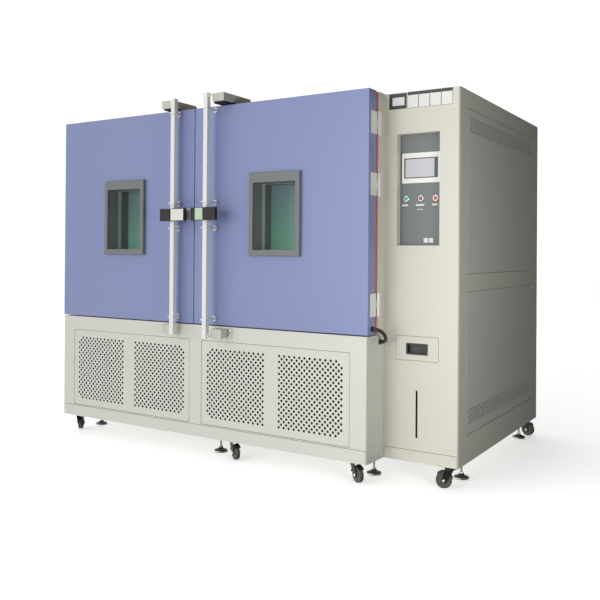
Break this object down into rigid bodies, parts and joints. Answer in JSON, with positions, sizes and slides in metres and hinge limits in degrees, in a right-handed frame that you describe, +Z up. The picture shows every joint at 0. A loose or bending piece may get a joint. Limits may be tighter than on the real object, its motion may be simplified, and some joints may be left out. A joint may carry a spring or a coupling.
{
  "type": "environmental test chamber",
  "caption": "Walk-up temperature and humidity test chamber with two windowed doors, rod locks, perforated base and a control column on casters.",
  "frame": {"origin": "floor level under the middle of the bounding box", "axes": "+Z up, the doors face -Y, the control column stands at +X"},
  "size_m": [2.449, 1.608, 1.91],
  "materials": {
    "base_paint": "satin",
    "body_paint": "satin",
    "side_paint": "satin",
    "insulation_foam": "matte",
    "stainless": "brushed",
    "motor_black": "matte",
    "refrigeration_metal": "satin",
    "control_grey": "satin",
    "bezel_white": "satin",
    "screen_glass": "gloss",
    "collar_steel": "polished",
    "gauge_black": "matte",
    "hinge_steel": "brushed",
    "gear_white": "gloss",
    "caster_black": "satin",
    "pull_grey": "matte",
    "button_green": "gloss",
    "button_dark_red": "gloss",
    "button_red": "gloss",
    "fan_aluminium": "satin",
    "conduit_black": "matte",
    "foot_steel": "polished",
    "door_blue": "gloss",
    "seal_red": "matte",
    "window_grey": "satin",
    "window_glass": "gloss",
    "guide_chrome": "polished",
    "handle_black": "satin",
    "wheel_rubber": "matte"
  },
  "bodies": {
    "cabinet": {"base_frame": "base_paint", "base_panel_left": "base_paint", "base_panel_right": "base_paint", "outer_shell": "body_paint", "insulation": "insulation_foam", "inner_liner": "stainless", "shelves": "stainless", "air_duct_panel": "stainless", "fan_motors": "motor_black", "refrigeration_set": "refrigeration_metal", "column_shell": "body_paint", "side_panel_upper": "side_paint", "side_panel_lower": "side_paint", "control_plate": "control_grey", "screen_bezel": "bezel_white", "screen_glass": "screen_glass", "button_collars": "collar_steel", "water_gauge": "gauge_black", "hinge_leaves_cabinet": "hinge_steel", "lock_keepers": "gear_white", "caster_plates": "caster_black", "door_conduit": "conduit_black"},
    "door_right": {"door_right_shell": "door_blue", "door_right_liner": "stainless", "door_right_seal": "seal_red", "window_frame_right": "window_grey", "window_glass_right": "window_glass", "hinge_leaves_right": "hinge_steel", "lock_guides_right": "guide_chrome"},
    "lock_right": {"lock_bar_right": "gear_white", "lock_handle_right": "handle_black"},
    "door_left": {"door_left_shell": "door_blue", "door_left_liner": "stainless", "door_left_seal": "seal_red", "window_frame_left": "window_grey", "window_glass_left": "window_glass", "hinge_leaves_left": "hinge_steel", "lock_guides_left": "guide_chrome"},
    "lock_left": {"lock_bar_left": "gear_white", "lock_handle_left": "handle_black"},
    "water_drawer": {"drawer_box": "body_paint", "drawer_pull": "pull_grey"},
    "button_green": {"button_green": "button_green"},
    "button_amber": {"button_amber": "button_dark_red"},
    "button_red": {"button_red": "button_red"},
    "fan_left": {"fan_wheel_left": "fan_aluminium"},
    "fan_right": {"fan_wheel_right": "fan_aluminium"},
    "feet": {"levelling_feet": "foot_steel"},
    "caster_1": {"caster_fork_1": "caster_black"},
    "wheel_1": {"caster_wheel_1": "wheel_rubber"},
    "caster_2": {"caster_fork_2": "caster_black"},
    "wheel_2": {"caster_wheel_2": "wheel_rubber"},
    "caster_3": {"caster_fork_3": "caster_black"},
    "wheel_3": {"caster_wheel_3": "wheel_rubber"},
    "caster_4": {"caster_fork_4": "caster_black"},
    "wheel_4": {"caster_wheel_4": "wheel_rubber"},
    "caster_5": {"caster_fork_5": "caster_black"},
    "wheel_5": {"caster_wheel_5": "wheel_rubber"},
    "caster_6": {"caster_fork_6": "caster_black"},
    "wheel_6": {"caster_wheel_6": "wheel_rubber"}
  },
  "joints": [
    {"name": "door_right_hinge", "type": "hinge", "parent": "cabinet", "child": "door_right", "pos_m": [0.8475, -0.605, 0.698], "axis": [0, 0, 1], "range_deg": [0, 110], "deforming": ["door_conduit"]},
    {"name": "door_left_hinge", "type": "hinge", "parent": "cabinet", "child": "door_left", "pos_m": [-1.2245, -0.605, 0.698], "axis": [0, 0, -1], "range_deg": [0, 110]},
    {"name": "lock_right_turn", "type": "hinge", "parent": "door_right", "child": "lock_right", "pos_m": [-0.062, -0.768, 1.284], "axis": [0, 0, 1], "range_deg": [0, 70]},
    {"name": "lock_left_turn", "type": "hinge", "parent": "door_left", "child": "lock_left", "pos_m": [-0.311, -0.738, 1.284], "axis": [0, 0, -1], "range_deg": [0, 50]},
    {"name": "water_drawer_slide", "type": "slide", "parent": "cabinet", "child": "water_drawer", "axis": [0, -1, 0], "range_m": [0, 0.22]},
    {"name": "button_green_press", "type": "slide", "parent": "cabinet", "child": "button_green", "axis": [0, 1, 0], "range_m": [0, 0.003], "stiffness_N_per_m": 300},
    {"name": "button_amber_press", "type": "slide", "parent": "cabinet", "child": "button_amber", "axis": [0, 1, 0], "range_m": [0, 0.003], "stiffness_N_per_m": 300},
    {"name": "button_red_press", "type": "slide", "parent": "cabinet", "child": "button_red", "axis": [0, 1, 0], "range_m": [0, 0.003], "stiffness_N_per_m": 300},
    {"name": "fan_left_spin", "type": "hinge", "parent": "cabinet", "child": "fan_left", "pos_m": [-0.6385, 0.565, 1.358], "axis": [0, 1, 0], "continuous": true},
    {"name": "fan_right_spin", "type": "hinge", "parent": "cabinet", "child": "fan_right", "pos_m": [0.2615, 0.565, 1.358], "axis": [0, 1, 0], "continuous": true},
    {"name": "feet_screw", "type": "slide", "parent": "cabinet", "child": "feet", "axis": [0, 0, 1], "range_m": [0, 0.025]},
    {"name": "caster_1_swivel", "type": "hinge", "parent": "cabinet", "child": "caster_1", "pos_m": [-1.154, -0.619, 0.09], "axis": [0, 0, 1], "continuous": true},
    {"name": "caster_1_roll", "type": "hinge", "parent": "caster_1", "child": "wheel_1", "pos_m": [-1.17057, -0.59399, 0.0375], "axis": [-0.8336, -0.5524, 0], "continuous": true},
    {"name": "caster_2_swivel", "type": "hinge", "parent": "cabinet", "child": "caster_2", "pos_m": [0.015, -0.619, 0.09], "axis": [0, 0, 1], "continuous": true},
    {"name": "caster_2_roll", "type": "hinge", "parent": "caster_2", "child": "wheel_2", "pos_m": [0.04086, -0.63421, 0.0375], "axis": [0.507, 0.8619, 0], "continuous": true},
    {"name": "caster_3_swivel", "type": "hinge", "parent": "cabinet", "child": "caster_3", "pos_m": [0.737, -0.619, 0.09], "axis": [0, 0, 1], "continuous": true},
    {"name": "caster_3_roll", "type": "hinge", "parent": "caster_3", "child": "wheel_3", "pos_m": [0.76286, -0.63421, 0.0375], "axis": [0.507, 0.8619, 0], "continuous": true},
    {"name": "caster_4_swivel", "type": "hinge", "parent": "cabinet", "child": "caster_4", "pos_m": [1.164, -0.479, 0.09], "axis": [0, 0, 1], "continuous": true},
    {"name": "caster_4_roll", "type": "hinge", "parent": "caster_4", "child": "wheel_4", "pos_m": [1.13579, -0.4892, 0.0375], "axis": [0.3401, -0.9404, 0], "continuous": true},
    {"name": "caster_5_swivel", "type": "hinge", "parent": "cabinet", "child": "caster_5", "pos_m": [-1.154, 0.715, 0.09], "axis": [0, 0, 1], "continuous": true},
    {"name": "caster_5_roll", "type": "hinge", "parent": "caster_5", "child": "wheel_5", "pos_m": [-1.172, 0.739, 0.0375], "axis": [-0.8, -0.6, 0], "continuous": true},
    {"name": "caster_6_swivel", "type": "hinge", "parent": "cabinet", "child": "caster_6", "pos_m": [1.15, 0.771, 0.09], "axis": [0, 0, 1], "continuous": true},
    {"name": "caster_6_roll", "type": "hinge", "parent": "caster_6", "child": "wheel_6", "pos_m": [1.17899, 0.76329, 0.0375], "axis": [0.257, 0.9664, 0], "continuous": true}
  ]
}
